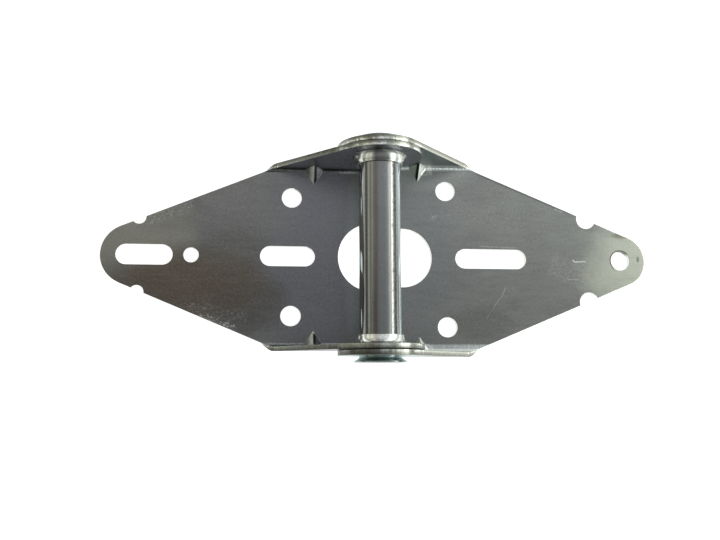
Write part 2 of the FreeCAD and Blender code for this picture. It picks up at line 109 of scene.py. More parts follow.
class Socket:
    """One output of a node. Arithmetic on it adds Math nodes."""

    def __init__(self, tree, output):
        self.tree = tree
        self.output = output

    def math(self, operation, other=None):
        inputs = {0: self} if other is None else {0: self, 1: other}
        return self.tree.add("ShaderNodeMath", {"operation": operation}, inputs)

    def __add__(self, other):
        return self.math("ADD", other)

    __radd__ = __add__

    def __mul__(self, other):
        return self.math("MULTIPLY", other)

    __rmul__ = __mul__

    def __sub__(self, other):
        return self.math("SUBTRACT", other)

    def __rsub__(self, other):
        return self.tree.add("ShaderNodeMath", {"operation": "SUBTRACT"}, {0: other, 1: self})

    def __truediv__(self, other):
        return self.math("DIVIDE", other)

    def __abs__(self):
        return self.math("ABSOLUTE")

    def __pow__(self, other):
        return self.math("POWER", other)

    def at_least(self, low):
        return self.math("MAXIMUM", low)

    def at_most(self, high):
        return self.math("MINIMUM", high)

    def above(self, low, high):
        """0 below low, 1 above high, and a smooth step between them."""
        settings = {"interpolation_type": "SMOOTHSTEP"}
        places = {"Value": self, "From Min": low, "From Max": high}
        return self.tree.add("ShaderNodeMapRange", settings, places)

    def below(self, low, high):
        """1 below low, 0 above high, and a smooth step between them."""
        return 1 - self.above(low, high)


class Tree:
    """The node tree of a material or a world, with one method that adds any node."""

    def __init__(self, owner):
        owner.use_nodes = True
        self.nodes = owner.node_tree.nodes
        self.links = owner.node_tree.links
        self.nodes.clear()

    def add(self, kind, settings=None, inputs=None, output=0):
        """Adds a node with its settings, then sets or links its sockets."""
        node = self.nodes.new(kind)
        for name, value in (settings or {}).items():
            if name == "stops":
                self.set_stops(node.color_ramp, value)
            else:
                setattr(node, name, value)
        for name, value in (inputs or {}).items():
            if isinstance(value, Socket):
                self.links.new(value.output, node.inputs[name])
            else:
                node.inputs[name].default_value = value
        return Socket(self, node.outputs[output]) if node.outputs else node

    def set_stops(self, ramp, stops):
        """Puts colours at places from 0 to 1 on a ramp."""
        while len(ramp.elements) < len(stops):
            ramp.elements.new(1.0)
        for element, (position, colour) in zip(ramp.elements, stops):
            element.position = position
            element.color = (*colour, 1.0)

    def place(self):
        """Object coordinates in millimetres, whole and split into x, y and z."""
        coordinates = self.add("ShaderNodeTexCoord", output="Object")
        scaled = self.scale(coordinates, 1 / MM)
        return (scaled, *self.split(scaled))

    def scale(self, vector, factor):
        """A vector or colour times a number."""
        places = {0: vector, "Scale": factor}
        return self.add("ShaderNodeVectorMath", {"operation": "SCALE"}, places)

    def split(self, vector):
        """The three parts of a vector."""
        node = self.add("ShaderNodeSeparateXYZ", inputs={0: vector}).output.node
        return tuple(Socket(self, node.outputs[axis]) for axis in range(3))

    def relief(self, strength, distance, height, samples, radius):
        """Bumps, in millimetres, over corners that look rounded by a radius in metres."""
        rounded = self.add("ShaderNodeBevel", {"samples": samples}, {"Radius": radius})
        places = {
            "Strength": strength, "Distance": distance * MM,
            "Height": height, "Normal": rounded,
        }
        return self.add("ShaderNodeBump", inputs=places)

    def finish(self, colour, shine, relief, metal):
        """Closes a metal's tree with its surface."""
        places = {"Base Color": colour, "Roughness": shine, "Normal": relief, "Metallic": metal}
        surface = self.add("ShaderNodeBsdfPrincipled", inputs=places)
        self.add("ShaderNodeOutputMaterial", inputs={"Surface": surface})

    def noise(self, vector, scale, detail=2.0, roughness=0.5, distortion=0.0):
        """Soft noise, about 0.5 in the mean. A scale of 1 has spots about 1 mm apart."""
        places = {
            "Vector": vector, "Scale": scale, "Detail": detail,
            "Roughness": roughness, "Distortion": distortion,
        }
        return self.add("ShaderNodeTexNoise", inputs=places)

    def stretched(self, vector, x, y, z, turn=0.0):
        """The vector turned about Z and scaled along each axis."""
        places = {"Vector": vector, "Rotation": (0, 0, turn), "Scale": (x, y, z)}
        return self.add("ShaderNodeMapping", inputs=places)

    def mix(self, factor, first, second):
        """One colour over another by a factor."""
        settings = {"data_type": "RGBA"}
        return self.add("ShaderNodeMix", settings, {0: factor, 6: first, 7: second}, output=2)

    def scratch(self, x, y, start, end, width):
        """A mask of a straight scratch between two places, faded at both ends."""
        along = Vector(end) - Vector(start)
        reach = along.length / 2
        middle = (Vector(end) + Vector(start)) / 2
        cosine, sine = along.normalized()
        across = (y - middle.y) * cosine - (x - middle.x) * sine
        travel = (x - middle.x) * cosine + (y - middle.y) * sine
        line = abs(across).below(width * 0.3, width)
        return line * abs(travel).below(reach * 0.8, reach)

    def patch(self, x, y, middle, reach, wander):
        """A mask of a soft round patch, 1 in its middle, with a wandering edge."""
        across = ((x - middle[0]) / reach[0]) ** 2
        up = ((y - middle[1]) / reach[1]) ** 2
        return (across + up + wander).below(0.1, 1.1)


def settings_of(context):
    return context.scene.hinge_finish


def linear(colour):
    """A display colour as the linear colour with opacity that sockets take."""
    def one(value):
        return value / 12.92 if value <= 0.04045 else ((value + 0.055) / 1.055) ** 2.4
    return (*(one(value) for value in colour), 1.0)


def sheet_parts(tree, x, y, z, ear_inside, dart):
    """Masks of the places where the sheet was cut, bent, pressed and drawn, and of the places
    given painted light and shade.
    """
    normal = tree.split(tree.add("ShaderNodeTexCoord", output="Normal"))
    side = abs(y)

    def towards_ear(start, end):
        """0 up to start before the inside of the ears, and 1 from end before it."""
        return side.above(ear_inside - start, ear_inside - end)

    # Distance from the centre line of the bend, and so the depth in the sheet:
    # 0 on its inside and 1 on its back.
    beside = (side - (ear_inside - BEND_INSIDE)).at_least(0.0)
    below = (BEND_TOP - z).at_least(0.0)
    reach = (beside ** 2 + below ** 2) ** 0.5
    depth = (reach - BEND_INSIDE) / SHEET
    facing = abs(normal[1] * y.math("SIGN") * beside - normal[2] * below) / reach

    axle = (x ** 2 + z ** 2) ** 0.5
    collar = axle.below(COLLAR_RADIUS, COLLAR_RADIUS + 0.5) * (1 - towards_ear(0.15, 0.05))
    lobe = axle.below(LOBE_RADIUS, LOBE_RADIUS + 0.8)
    upper = y.above(-1.0, 1.0)
    # The top middle of the upper lobes, where painted shade goes.
    overhead = (abs(x) / axle).below(0.22, 0.55) * z.above(0.0, 4.0) * upper * lobe

    outward = (x - dart) * math.copysign(1.0, dart)
    pressing = abs(outward).below(4.8, 5.1) * towards_ear(7.7, 7.4) * z.below(-9.0, -8.0)
    flank = abs(normal[0]).above(0.10, 0.20) * pressing
    edge = facing.below(0.2, 0.4) * (1 - collar) * (1 - pressing)
    bent = abs(normal[1] * normal[2]).above(0.05, 0.16) * (1 - collar) * (1 - edge)

    # Walls of the holes, which get painted light.
    away = normal[0] * x.math("SIGN")
    wall = away.at_most(normal[1]).below(-0.6, -0.2) * away.below(0.2, 0.34)
    return {
        "edge": edge,
        "formed": bent.at_least(flank),
        "collar": collar,
        "foot": collar * towards_ear(1.1, 0.4),
        "depth": depth,
        "lobe": lobe,
        "overhead": overhead,
        "far_flank": flank * outward.above(-0.1, 0.3),
        "near_flank": flank * outward.below(-0.1, 0.1),
        "ridge_shadow": outward.above(-1.2, -0.7),
        "ridge": outward.below(0.3, 2.8),
        "ridge_side": depth.below(0.1, 0.4),
        "apex": flank * (1 - towards_ear(5.6, 4.2)),
        "upper": upper,
        "lower": 1 - upper,
        "heel": (1 - towards_ear(1.2, 0.5)) * upper,
        # Where the cut edges turn round the bends; they get painted glints.
        "turn": towards_ear(0.6, 0.0) * z.below(-17.2, -16.4),
        "ear": towards_ear(0.4, 0.0),
        "web": z.below(WEB_FRONT + 0.6, WEB_FRONT + 1.0),
        "front": z.above(WEB_FRONT - 0.6, WEB_FRONT - 0.2),
        # The side towards the strip lamp: painted light and shade follow it.
        "lit": x.above(-7.0, 7.0),
        "wall": wall * (1 - towards_ear(3.2, 2.2)),
    }


def sheet_colour_and_painted_light(tree, place, x, y, face, patches, streaky):
    """The zinc's colour: clouds, rolling streaks, grains, specks and tinted areas, some of them
    partly painted light.
    """
    options = settings_of(bpy.context)
    pale = linear(options.spangle)
    wander = tree.noise(place, 0.09, 4.0, 0.6) * 0.7 - 0.35
    clouds = tree.noise(tree.stretched(place, 1, 1.5, 1, 0.3), 0.07, 5.0, 0.65)
    streaks = tree.noise(tree.stretched(place, 0.09, 0.55, 1.0, 0.04), 1.0, 5.0, 0.7)
    grains = tree.noise(place, 1.1, 3.0, 0.75)
    fine = tree.noise(place, 3.2, 2.0, 0.6)
    specks = tree.noise(place, 0.85, 1.0, 0.5).above(0.67, 0.76) * wander.above(-0.1, 0.25)
    colour = tree.mix(clouds - 0.2, linear(face), pale)
    for middle, reach, tint, strength in patches:
        area = tree.patch(x, y, middle, reach, wander)
        colour = tree.mix(area * strength, colour, linear(tint))
    colour = tree.mix((streaks - 0.5).at_least(0.0) * 1.3 * streaky, colour, pale)
    colour = tree.mix((0.5 - streaks).at_least(0.0) * 0.7 * streaky, colour, DARK_GRAIN_AND_SHADE)
    colour = tree.mix((grains - 0.5).at_least(0.0) * 2.2 * options.mottling, colour, pale)
    colour = tree.mix((0.5 - grains).at_least(0.0) * 1.9 * options.mottling, colour, DARK_GRAIN_AND_SHADE)
    colour = tree.mix((0.47 - fine).at_least(0.0) * 1.8 * options.mottling, colour, DARK_GRAIN_AND_SHADE)
    colour = tree.mix(specks * 0.45 * streaky, colour, linear(SPECK))
    shine = (clouds - 0.5) * 0.08 + (grains - 0.5) * 0.16
    shine = shine + (streaks - 0.5) * 0.12 + (fine - 0.5) * 0.08
    bumps = grains * 0.6 + fine * 0.35 + tree.noise(place, 0.35, 2.0) * 0.6
    return colour, shine + options.sheet_roughness, bumps


def ear_colours_and_painted_light(tree, parts, x, y, z, colour, along_ear, ear_face, ear_inside):
    """Tints the ears, partly as painted light; paints shade on their outer ends and highlights on
    their pale foot and the strip of the web along a bend.
    """
    options = settings_of(bpy.context)
    light = linear(options.pressed_light)
    # The ear faces are paler than the sheet, partly as painted light.
    colour = tree.mix(parts["ear"] * z.above(-17.5, -13.0), colour, linear(ear_face))
    # Painted shade: the ears darker towards the outer end of the outer leaf.
    colour = tree.mix(parts["ear"] * x.above(8.0, 27.0) * 0.62, colour, DARK_GRAIN_AND_SHADE)
    # Painted highlight along the foot of the upper ears on the lit side.
    painted_ear_foot_highlight = parts["ear"] * z.below(-16.2, -14.8) * parts["upper"] * parts["lit"]
    colour = tree.mix(painted_ear_foot_highlight * (along_ear * 1.2).at_most(0.8), colour, light)
    # Painted highlight on the strip of the web along the lower bends, on the lit side.
    painted_bend_highlight = (y + ear_inside).below(2.4, 3.5) * parts["web"] * parts["lit"]
    return tree.mix(painted_bend_highlight * (along_ear * 1.4).at_most(0.9), colour, light)


def sheared_edge(tree, parts, y, grain, smear, gap_shadow):
    """Colour of the cut edges, with painted shade on the left and in the gap between the ears,
    painted light on hole walls, and the masks of their painted glints and burnished band.
    """
    options = settings_of(bpy.context)
    light, bright = linear(options.edge_light), linear(options.bright)
    depth, lobe, left = parts["depth"], parts["lobe"], 1 - parts["lit"]
    burnish = (depth + (smear - 0.5) * 0.6).below(0.25, 0.45)
    cut = tree.mix(grain * 0.9 + smear * 0.9 - 0.45, linear(options.edge_dark), light)
    cut = tree.mix(burnish * 0.7, cut, light)
    # Painted shade: the edges on the left are darker, the lobes less so, except the lower lobe of
    # the outer leaf, which is darkest.
    inside_ear = y.above(-OUTER_EARS, 0.3 - OUTER_EARS)
    cut = tree.mix(left * (0.52 + lobe * (0.2 - inside_ear * 0.46)), cut, DARK_GRAIN_AND_SHADE)
    cut = tree.mix(depth.above(0.4, 1.0) * 0.4, cut, DARK_GRAIN_AND_SHADE)
    # Painted glints on the lobes and where the edges turn round the bends.
    painted_glint = (smear + (grain - 0.5) * 0.6).above(0.46, 0.60)
    painted_glint = painted_glint * (depth + grain * 0.4).below(0.45, 0.8)
    painted_glint = painted_glint * (lobe * (1 - parts["lower"] * left)).at_least(parts["turn"])
    cut = tree.mix(painted_glint, cut, bright)
    # Painted light on the walls of the holes in the web.
    cut = tree.mix(parts["wall"] * parts["web"] * 0.9, cut, bright)
    # Painted shadow in the gap between the ears, at the lower lobes.
    shadowed = depth.above(0.70, 0.92) * lobe * y.below(-31.0, -30.0) * gap_shadow
    return tree.mix(shadowed, cut, DARK_GRAIN_AND_SHADE), painted_glint, burnish


def pressed_forms(tree, parts, x, sparkle, ear_face):
    """Colour of the bends and darts, with painted light and shade, and how dull the painted bright
    flanks of the darts are.
    """
    options = settings_of(bpy.context)
    dark, bright = linear(options.pressed_dark), linear(options.bright)
    lit, lower, near, far = (parts[part] for part in ("lit", "lower", "near_flank", "far_flank"))
    # Painted shade on the left side, stronger on the upper left.
    shaded = 0.5 + x.below(-16.0, -10.0) * parts["upper"] * 0.36
    # Paler than the sheet: partly the pressed surface's own sparkle, partly painted light.
    pressed = tree.mix(sparkle.above(0.35, 0.65), dark, linear(options.pressed_light))
    pressed = tree.mix((1 - lit) * shaded, pressed, DARK_GRAIN_AND_SHADE)
    # Painted highlight on the lower bends of the lit side.
    pressed = tree.mix(lit * lower * 0.7, pressed, bright)
    # Painted shade at the heel of the upper bends of the lit side.
    pressed = tree.mix(lit * parts["heel"] * 0.35, pressed, DARK_GRAIN_AND_SHADE)
    pressed = tree.mix(far * 0.7, pressed, dark)
    pressed = tree.mix(near, pressed, linear(ear_face))
    # Painted shadow on the near flank beside the ridge.
    pressed = tree.mix(near * parts["ridge_shadow"] * (1 - lit * lower), pressed, DARK_GRAIN_AND_SHADE)
    # Painted highlight on the flanks away from the tube, along their ridge.
    painted_flank_highlight = far * (parts["ridge"] * 0.8 + sparkle * 1.1 - 0.62 + lower * 0.3)
    painted_flank_highlight = painted_flank_highlight.at_least(parts["apex"] * lower).at_least(0.0).at_most(1.0)
    painted_flank_highlight = painted_flank_highlight * parts["ridge_side"]
    # Painted highlight on the near flanks of the lower darts on the lit side.
    dulled = near * lower * lit * 0.6
    pressed = tree.mix(painted_flank_highlight.at_least(dulled), pressed, bright)
    return pressed, (painted_flank_highlight * (lower * 0.45 + 0.45)).at_least(dulled)


def drawn_collars(tree, parts, sparkle):
    """Colour of the collars, mottled by the drawing, with painted shade at the upper left."""
    options = settings_of(bpy.context)
    spots = sparkle.above(0.46, 0.66) * 0.5
    drawn = tree.mix(spots, linear(options.bright), linear(options.pressed_dark))
    return tree.mix((1 - parts["lit"]) * parts["upper"] * 0.25, drawn, DARK_GRAIN_AND_SHADE)


def zinc_sheet(name, face, ear_face, patches, marks, rings, streaky, gap_shadow, ear_inside, dart):
    """Satin zinc over rolled sheet: soft tints, fine spangle, shiny forms, sheared edges, and
    painted light and shade.
    """
    options = settings_of(bpy.context)
    material = bpy.data.materials.new(name)
    tree = Tree(material)
    place, x, y, z = tree.place()
    parts = sheet_parts(tree, x, y, z, ear_inside, dart)
    edge, formed, collar, web = (parts[part] for part in ("edge", "formed", "collar", "web"))

    along_ear = tree.noise(tree.stretched(place, 2.6, 0.35, 2.6), 1.0, 3.0, 0.65)
    along_web = tree.noise(tree.stretched(place, 2.6, 2.6, 0.35), 1.0, 3.0, 0.65)
    grain = along_ear * parts["ear"] + along_web * (1 - parts["ear"])
    smear = tree.noise(place, 0.35, 3.0, 0.6, 0.8)
    sparkle = tree.noise(tree.stretched(place, 1.0, 2.0, 2.0), 1.3, 3.0, 0.75)
    broken = tree.noise(place, 1.7, 3.0, 0.65)

    colour, shine, bumps = sheet_colour_and_painted_light(tree, place, x, y, face, patches, streaky)
    # Painted light and shade on the web: lighter towards the upper ears, darker towards the lower
    # ones.
    colour = tree.scale(colour, (y.above(-22.0, 28.0) * 0.25 - 0.15) * web + 1.0)
    colour = ear_colours_and_painted_light(tree, parts, x, y, z, colour, along_ear, ear_face, ear_inside)
    cut, painted_glint, burnish = sheared_edge(tree, parts, y, grain, smear, gap_shadow)
    colour = tree.mix(edge, colour, cut)
    pressed, dulled = pressed_forms(tree, parts, x, sparkle, ear_face)
    colour = tree.mix(formed, colour, pressed)
    colour = tree.mix(collar, colour, drawn_collars(tree, parts, sparkle))
    # Painted shade on the top middle of the lobes and collars, and at the foot of each collar,
    # stronger on the lower ones.
    shadow = parts["overhead"] * (0.22 + collar * 0.56) * (1 - edge)
    colour = tree.mix(shadow, colour, DARK_GRAIN_AND_SHADE)
    colour = tree.mix(parts["foot"] * (parts["lower"] * 0.25 + 0.6), colour, DARK_GRAIN_AND_SHADE)
    shine = shine + edge * (smear - 0.62) * 0.5 - edge * burnish * 0.08
    shine = shine - formed * 0.12 - painted_glint * 0.12 + parts["far_flank"] * 0.10

    for start, end, width, strength, tone, gap in marks:
        line = tree.scratch(x, y, start, end, width) * web * parts["front"]
        line = line * broken.above(gap, gap + 0.16) * strength
        colour = tree.mix(line, colour, linear((tone, tone, tone * 0.98)))
        shine = shine - line * 0.1
    # Painted shadow on the upper left of a hole's rim.
    for middle, radius, strength in rings:
        off = ((x - middle[0]) ** 2 + (y - middle[1]) ** 2) ** 0.5 - radius
        ring = off.below(0.3, 0.7) * (y - x + middle[0]).above(-2.0, 1.0) * web
        colour = tree.mix(ring * strength, colour, DARK_GRAIN_AND_SHADE)

    places = {"Value": collar, "To Min": shine, "To Max": COLLAR_ROUGHNESS}
    shine = tree.add("ShaderNodeMapRange", inputs=places)
    bumps = bumps + grain * edge * 2.2 + smear * edge * 2.5 + sparkle * formed * 3.0
    relief = tree.relief(0.22, 0.05, bumps * (1 - collar), 6, options.corner_round)
    tree.finish(colour, shine, relief, 1 - dulled)
    return material


def zinc_tube(name):
    """Bright drawn zinc tube: fine lines along it, a little haze and handling marks, with painted
    reflections and painted shade.
    """
    options = settings_of(bpy.context)
    material = bpy.data.materials.new(name)
    tree = Tree(material)
    place, x, y, z = tree.place()
    lines = tree.noise(tree.stretched(place, 1.6, 0.03, 1.6), 1.0, 3.0, 0.6)
    haze = tree.noise(place, 0.12, 3.0, 0.6)
    specks = tree.noise(place, 2.8, 2.0, 0.6)
    pits = tree.noise(tree.stretched(place, 1.0, 0.35, 1.0), 1.7, 3.0, 0.7)
    colour = tree.mix(haze, linear(options.tube_colour), linear(options.tube_shade))
    colour = tree.mix((lines - 0.5).at_least(0.0) * 1.2, colour, linear(options.tube_shade))
    colour = tree.mix((0.42 - specks).at_least(0.0) * 2.4, colour, DARK_GRAIN_AND_SHADE)
    colour = tree.mix(pits.above(0.64, 0.72) * 0.6, colour, PIT)

    # Degrees round the tube: 0 on top, and positive towards the outer leaf.
    side = x.math("ARCTAN2", z) / math.radians(1)
    # Painted reflections: a bluish band down the side towards the strip lamp, and the same colour
    # on the far left side.
    band = side.above(50.0, 57.0) * side.below(80.0, 100.0) * (lines * 0.6 + 0.6).at_most(1.0)
    reflection_colour = linear(options.tube_band)
    colour = tree.mix(band, colour, reflection_colour)
    colour = tree.mix(side.below(-64.0, -60.0) * 0.4, colour, reflection_colour)
    # Painted shade: a dark band left of the top.
    colour = tree.mix(side.above(-60.0, -56.0) * side.below(-45.0, -41.0) * 0.35, colour, DARK_GRAIN_AND_SHADE)
    # A dark brown stripe along the lower part of the tube, left of the top.
    stripe = side.above(-32.0, -28.0) * side.below(-19.0, -15.0) * y.below(-28.0, 6.0)
    colour = tree.mix(stripe * (pits * 0.5 + 0.1), colour, DARK_BROWN)
    rubbed = side.above(24.0, 29.0) * side.below(41.0, 46.0) * pits.above(0.50, 0.60)
    colour = tree.mix(rubbed * 0.5, colour, DARK_GRAIN_AND_SHADE)
    # Painted reflection on the flares.
    colour = tree.mix(abs(y).above(FLARE_START, FLARE_START + 0.6) * 0.3, colour, reflection_colour)
    # Painted shade on the end of the lower flare.
    colour = tree.mix(y.below(-TUBE_RIM - 0.15, -TUBE_RIM) * 0.8, colour, DARK_GRAIN_AND_SHADE)

    shine = (haze - 0.5) * 0.06 + (lines - 0.5) * 0.08 + (specks - 0.5) * 0.04
    dents = tree.noise(tree.stretched(place, 0.30, 0.12, 0.30), 1.0, 3.0, 0.6)
    bumps = lines * 0.6 + specks * 0.3 + haze * 0.8 + dents * 7.0
    relief = tree.relief(0.13, 0.03, bumps, 4, options.corner_round * 0.6)
    tree.finish(colour, shine + options.tube_roughness, relief, 1 - band * 0.4)
    return material


def dress(node, material):
    """Puts a finish on a CAD node and leaves its mesh as it is."""
    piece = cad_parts[node]
    if not piece.material_slots:
        raise RuntimeError(f"{node} has no material slot")
    for place in piece.material_slots:
        place.material = material


class HingeFinish(bpy.types.PropertyGroup):
    """Colours and shine of the zinc."""

    inner_face: FloatVectorProperty(
        name="Inner leaf", description="Sheet colour of the inner leaf",
        subtype="COLOR", min=0.0, max=1.0, default=(0.415, 0.41, 0.405))
    outer_face: FloatVectorProperty(
        name="Outer leaf", description="Sheet colour of the outer leaf",
        subtype="COLOR", min=0.0, max=1.0, default=(0.522, 0.522, 0.513))
    # The ears' faces are paler than the sheet, partly as painted light.
    inner_ears: FloatVectorProperty(
        name="Inner leaf's ears", description="Faces of the ears of the inner leaf",
        subtype="COLOR", min=0.0, max=1.0, default=(0.545, 0.55, 0.575))
    outer_ears: FloatVectorProperty(
        name="Outer leaf's ears", description="Faces of the ears of the outer leaf",
        subtype="COLOR", min=0.0, max=1.0, default=(0.61, 0.665, 0.65))
    spangle: FloatVectorProperty(
        name="Spangle", description="Pale grains and clouds in the zinc",
        subtype="COLOR", min=0.0, max=1.0, default=(0.60, 0.61, 0.59))
    edge_dark: FloatVectorProperty(
        name="Edge, dark", description="Sheared edge in its torn parts",
        subtype="COLOR", min=0.0, max=1.0, default=(0.40, 0.40, 0.36))
    edge_light: FloatVectorProperty(
        name="Edge, light", description="Sheared edge in its burnished parts",
        subtype="COLOR", min=0.0, max=1.0, default=(0.76, 0.77, 0.73))
    pressed_dark: FloatVectorProperty(
        name="Pressed, dark", description="Bends and darts between their bright spots",
        subtype="COLOR", min=0.0, max=1.0, default=(0.52, 0.54, 0.54))
    # Also the colour of the painted highlights along the foot of the ears and the lower bends.
    pressed_light: FloatVectorProperty(
        name="Pressed, light", description="Bright spots of the bends and darts",
        subtype="COLOR", min=0.0, max=1.0, default=(0.84, 0.86, 0.85))
    # Also the colour of the painted glints and painted highlights on edges, bends, flanks and hole
    # walls.
    bright: FloatVectorProperty(
        name="Bright", description="Collars and the flanks of the darts away from the tube",
        subtype="COLOR", min=0.0, max=1.0, default=(0.92, 0.93, 0.91))
    tube_colour: FloatVectorProperty(
        name="Tube", description="Bright parts of the tube",
        subtype="COLOR", min=0.0, max=1.0, default=(0.56, 0.56, 0.56))
    tube_shade: FloatVectorProperty(
        name="Tube, hazy", description="Hazy parts of the tube",
        subtype="COLOR", min=0.0, max=1.0, default=(0.50, 0.505, 0.50))
    # The colour of the painted reflections on the tube.
    tube_band: FloatVectorProperty(
        name="Tube, band", description="Bluish band along the side of the tube, and its flares",
        subtype="COLOR", min=0.0, max=1.0, default=(0.80, 0.87, 0.88))
    sheet_roughness: FloatProperty(
        name="Sheet roughness", description="Mean roughness of the leaves",
        subtype="FACTOR", min=0.05, max=1.0, default=0.36)
    tube_roughness: FloatProperty(
        name="Tube roughness", description="Mean roughness of the tube",
        subtype="FACTOR", min=0.03, max=1.0, default=0.09)
    mottling: FloatProperty(
        name="Mottling", description="Strength of the fine spangle",
        subtype="FACTOR", min=0.0, max=1.0, default=0.5)
    corner_round: FloatProperty(
        name="Corner round", description="Radius to which the corners of the sheet look rounded",
        subtype="DISTANCE", unit="LENGTH", min=0.0, default=0.35 * MM)


class HingeStudio(bpy.types.PropertyGroup):
    """Camera and lamps."""

    lens: FloatProperty(
        name="Lens", description="Focal length on a sensor 36 mm wide",
        min=10.0, max=200.0, default=36.275)
    camera_place: FloatVectorProperty(
        name="Camera", description="Place of the camera",
        subtype="TRANSLATION", unit="LENGTH", default=(-0.03541, -0.04651, 0.26483))
    camera_turn: FloatVectorProperty(
        name="Camera turn", description="Turn of the camera about X, Y and Z",
        subtype="EULER", unit="ROTATION", default=(0.1442, -0.1046, -0.0025))
    strip_light: FloatProperty(
        name="Strip light", description="Power of the soft strip beside the outer leaf",
        unit="POWER", min=0.0, default=1.2)
    fill_light: FloatProperty(
        name="Fill light", description="Power of the weak lamp beside the inner leaf",
        unit="POWER", min=0.0, default=0.15)


class HINGE_OT_inner_leaf(bpy.types.Operator):
    """Dress the inner leaf in its darker satin zinc"""

    bl_idname = "hinge.inner_leaf"
    bl_label = "Inner leaf"

    def execute(self, context):
        options = settings_of(context)
        # Middle, reach, colour and strength of each tinted area; the pale areas by the tube and at
        # the tip are partly painted light.
        patches = (
            ((-18.0, 2.0), (34.0, 60.0), (0.485, 0.485, 0.505), 0.9),
            ((-4.0, -4.0), (8.5, 50.0), (0.62, 0.63, 0.64), 0.8),
            ((-52.0, 17.0), (24.0, 15.0), (0.51, 0.505, 0.50), 0.6),
            ((-50.0, -18.0), (20.0, 14.0), (0.37, 0.355, 0.34), 0.6),
            ((-53.0, 1.0), (15.0, 12.0), (0.40, 0.385, 0.37), 0.4),
            ((-99.0, 8.0), (34.0, 20.0), (0.605, 0.60, 0.56), 0.9),
            ((-74.0, -11.0), (36.0, 17.0), (0.43, 0.39, 0.345), 0.9),
            ((-82.0, 15.0), (14.0, 8.0), (0.50, 0.50, 0.46), 0.4),
        )
        # Start, end, width, strength, tone and gaps of each mark.
        marks = (
            ((-92.0, 14.0), (-86.0, 16.5), 0.22, 0.3, 0.66, 0.30),
            ((-68.6, -23.9), (-53.1, -28.6), 2.10, 0.9, 0.84, 0.49),
            ((-76.0, -19.0), (-48.0, -25.0), 4.50, 0.5, 0.70, 0.53),
            ((-89.0, 13.0), (-70.0, 20.5), 3.20, 0.55, 0.80, 0.51),
            ((-99.0, 11.0), (-86.0, 13.5), 3.00, 0.4, 0.76, 0.54),
            ((-101.0, -11.4), (-94.5, -14.0), 1.30, 0.5, 0.26, 0.15),
        )
        material = zinc_sheet(
            "inner_leaf_zinc", options.inner_face, options.inner_ears, patches, marks, (),
            streaky=0.45, gap_shadow=0.65, ear_inside=INNER_EARS, dart=INNER_DART)
        dress("inner_leaf", material)
        return {"FINISHED"}


class HINGE_OT_outer_leaf(bpy.types.Operator):
    """Dress the outer leaf in its lighter satin zinc"""

    bl_idname = "hinge.outer_leaf"
    bl_label = "Outer leaf"

    def execute(self, context):
        options = settings_of(context)
        # Middle, reach, colour and strength of each tinted area; the pale area at the tip is
        # partly painted sheen.
        patches = (
            ((16.0, 8.0), (24.0, 60.0), (0.535, 0.54, 0.54), 0.8),
            ((85.0, -9.0), (28.0, 14.0), (0.57, 0.57, 0.55), 0.55),
            ((111.0, -6.0), (28.0, 25.0), (0.80, 0.81, 0.75), 0.9),
            ((43.0, -27.0), (18.0, 9.0), (0.46, 0.455, 0.435), 0.55),
            ((20.0, 35.5), (24.0, 9.0), (0.64, 0.655, 0.64), 0.6),
            ((104.0, 10.6), (5.0, 1.6), (0.46, 0.43, 0.36), 0.6),
            ((110.5, 0.7), (0.8, 1.5), (0.40, 0.44, 0.41), 0.7),
        )
        # Start, end, width, strength, tone and gaps of each mark.
        marks = (
            ((82.4, 0.3), (83.3, -0.9), 0.26, 1.0, 0.98, 0.20),
            ((82.8, -0.7), (88.2, -0.5), 0.28, 1.0, 0.97, 0.28),
            ((79.9, -8.0), (85.4, -8.0), 0.22, 0.5, 0.82, 0.35),
            ((53.9, -11.0), (52.4, -15.0), 0.28, 0.4, 0.80, 0.36),
            ((52.6, -14.6), (49.2, -18.8), 0.28, 0.4, 0.78, 0.36),
            ((49.6, -18.2), (45.4, -24.3), 0.28, 0.3, 0.74, 0.38),
            ((42.8, 5.2), (59.5, 4.8), 0.35, 0.45, 0.78, 0.36),
            ((17.0, 35.4), (42.0, 35.8), 1.60, 0.25, 0.78, 0.44),
            ((19.0, 35.4), (24.5, 36.0), 2.00, 0.8, 0.95, 0.34),
            ((19.0, -35.0), (24.0, -35.9), 1.40, 0.8, 0.95, 0.34),
            ((26.0, 21.0), (66.0, 15.0), 8.00, 0.22, 0.70, 0.47),
            ((23.0, 17.2), (26.0, 16.6), 1.60, 0.5, 0.78, 0.46),
            ((75.5, 21.6), (79.4, 20.2), 1.00, 0.6, 0.82, 0.42),
            ((72.0, -1.0), (90.0, -9.0), 7.00, 0.24, 0.78, 0.45),
            ((40.5, 36.4), (83.8, 18.8), 0.60, 0.45, 0.36, 0.20),
        )
        # Middle, radius and strength of the painted shadow on the upper left of the rim of the tip
        # hole.
        rings = (((102.8, 0.0), TIP_HOLE_RADIUS, 0.75),)
        material = zinc_sheet(
            "outer_leaf_zinc", options.outer_face, options.outer_ears, patches, marks, rings,
            streaky=0.6, gap_shadow=0.0, ear_inside=OUTER_EARS, dart=OUTER_DART)
        dress("outer_leaf", material)
        return {"FINISHED"}


class HINGE_OT_tube(bpy.types.Operator):
    """Dress the tube in bright zinc"""

    bl_idname = "hinge.tube"
    bl_label = "Tube"

    def execute(self, context):
        dress("hinge_tube", zinc_tube("hinge_tube_zinc"))
        return {"FINISHED"}


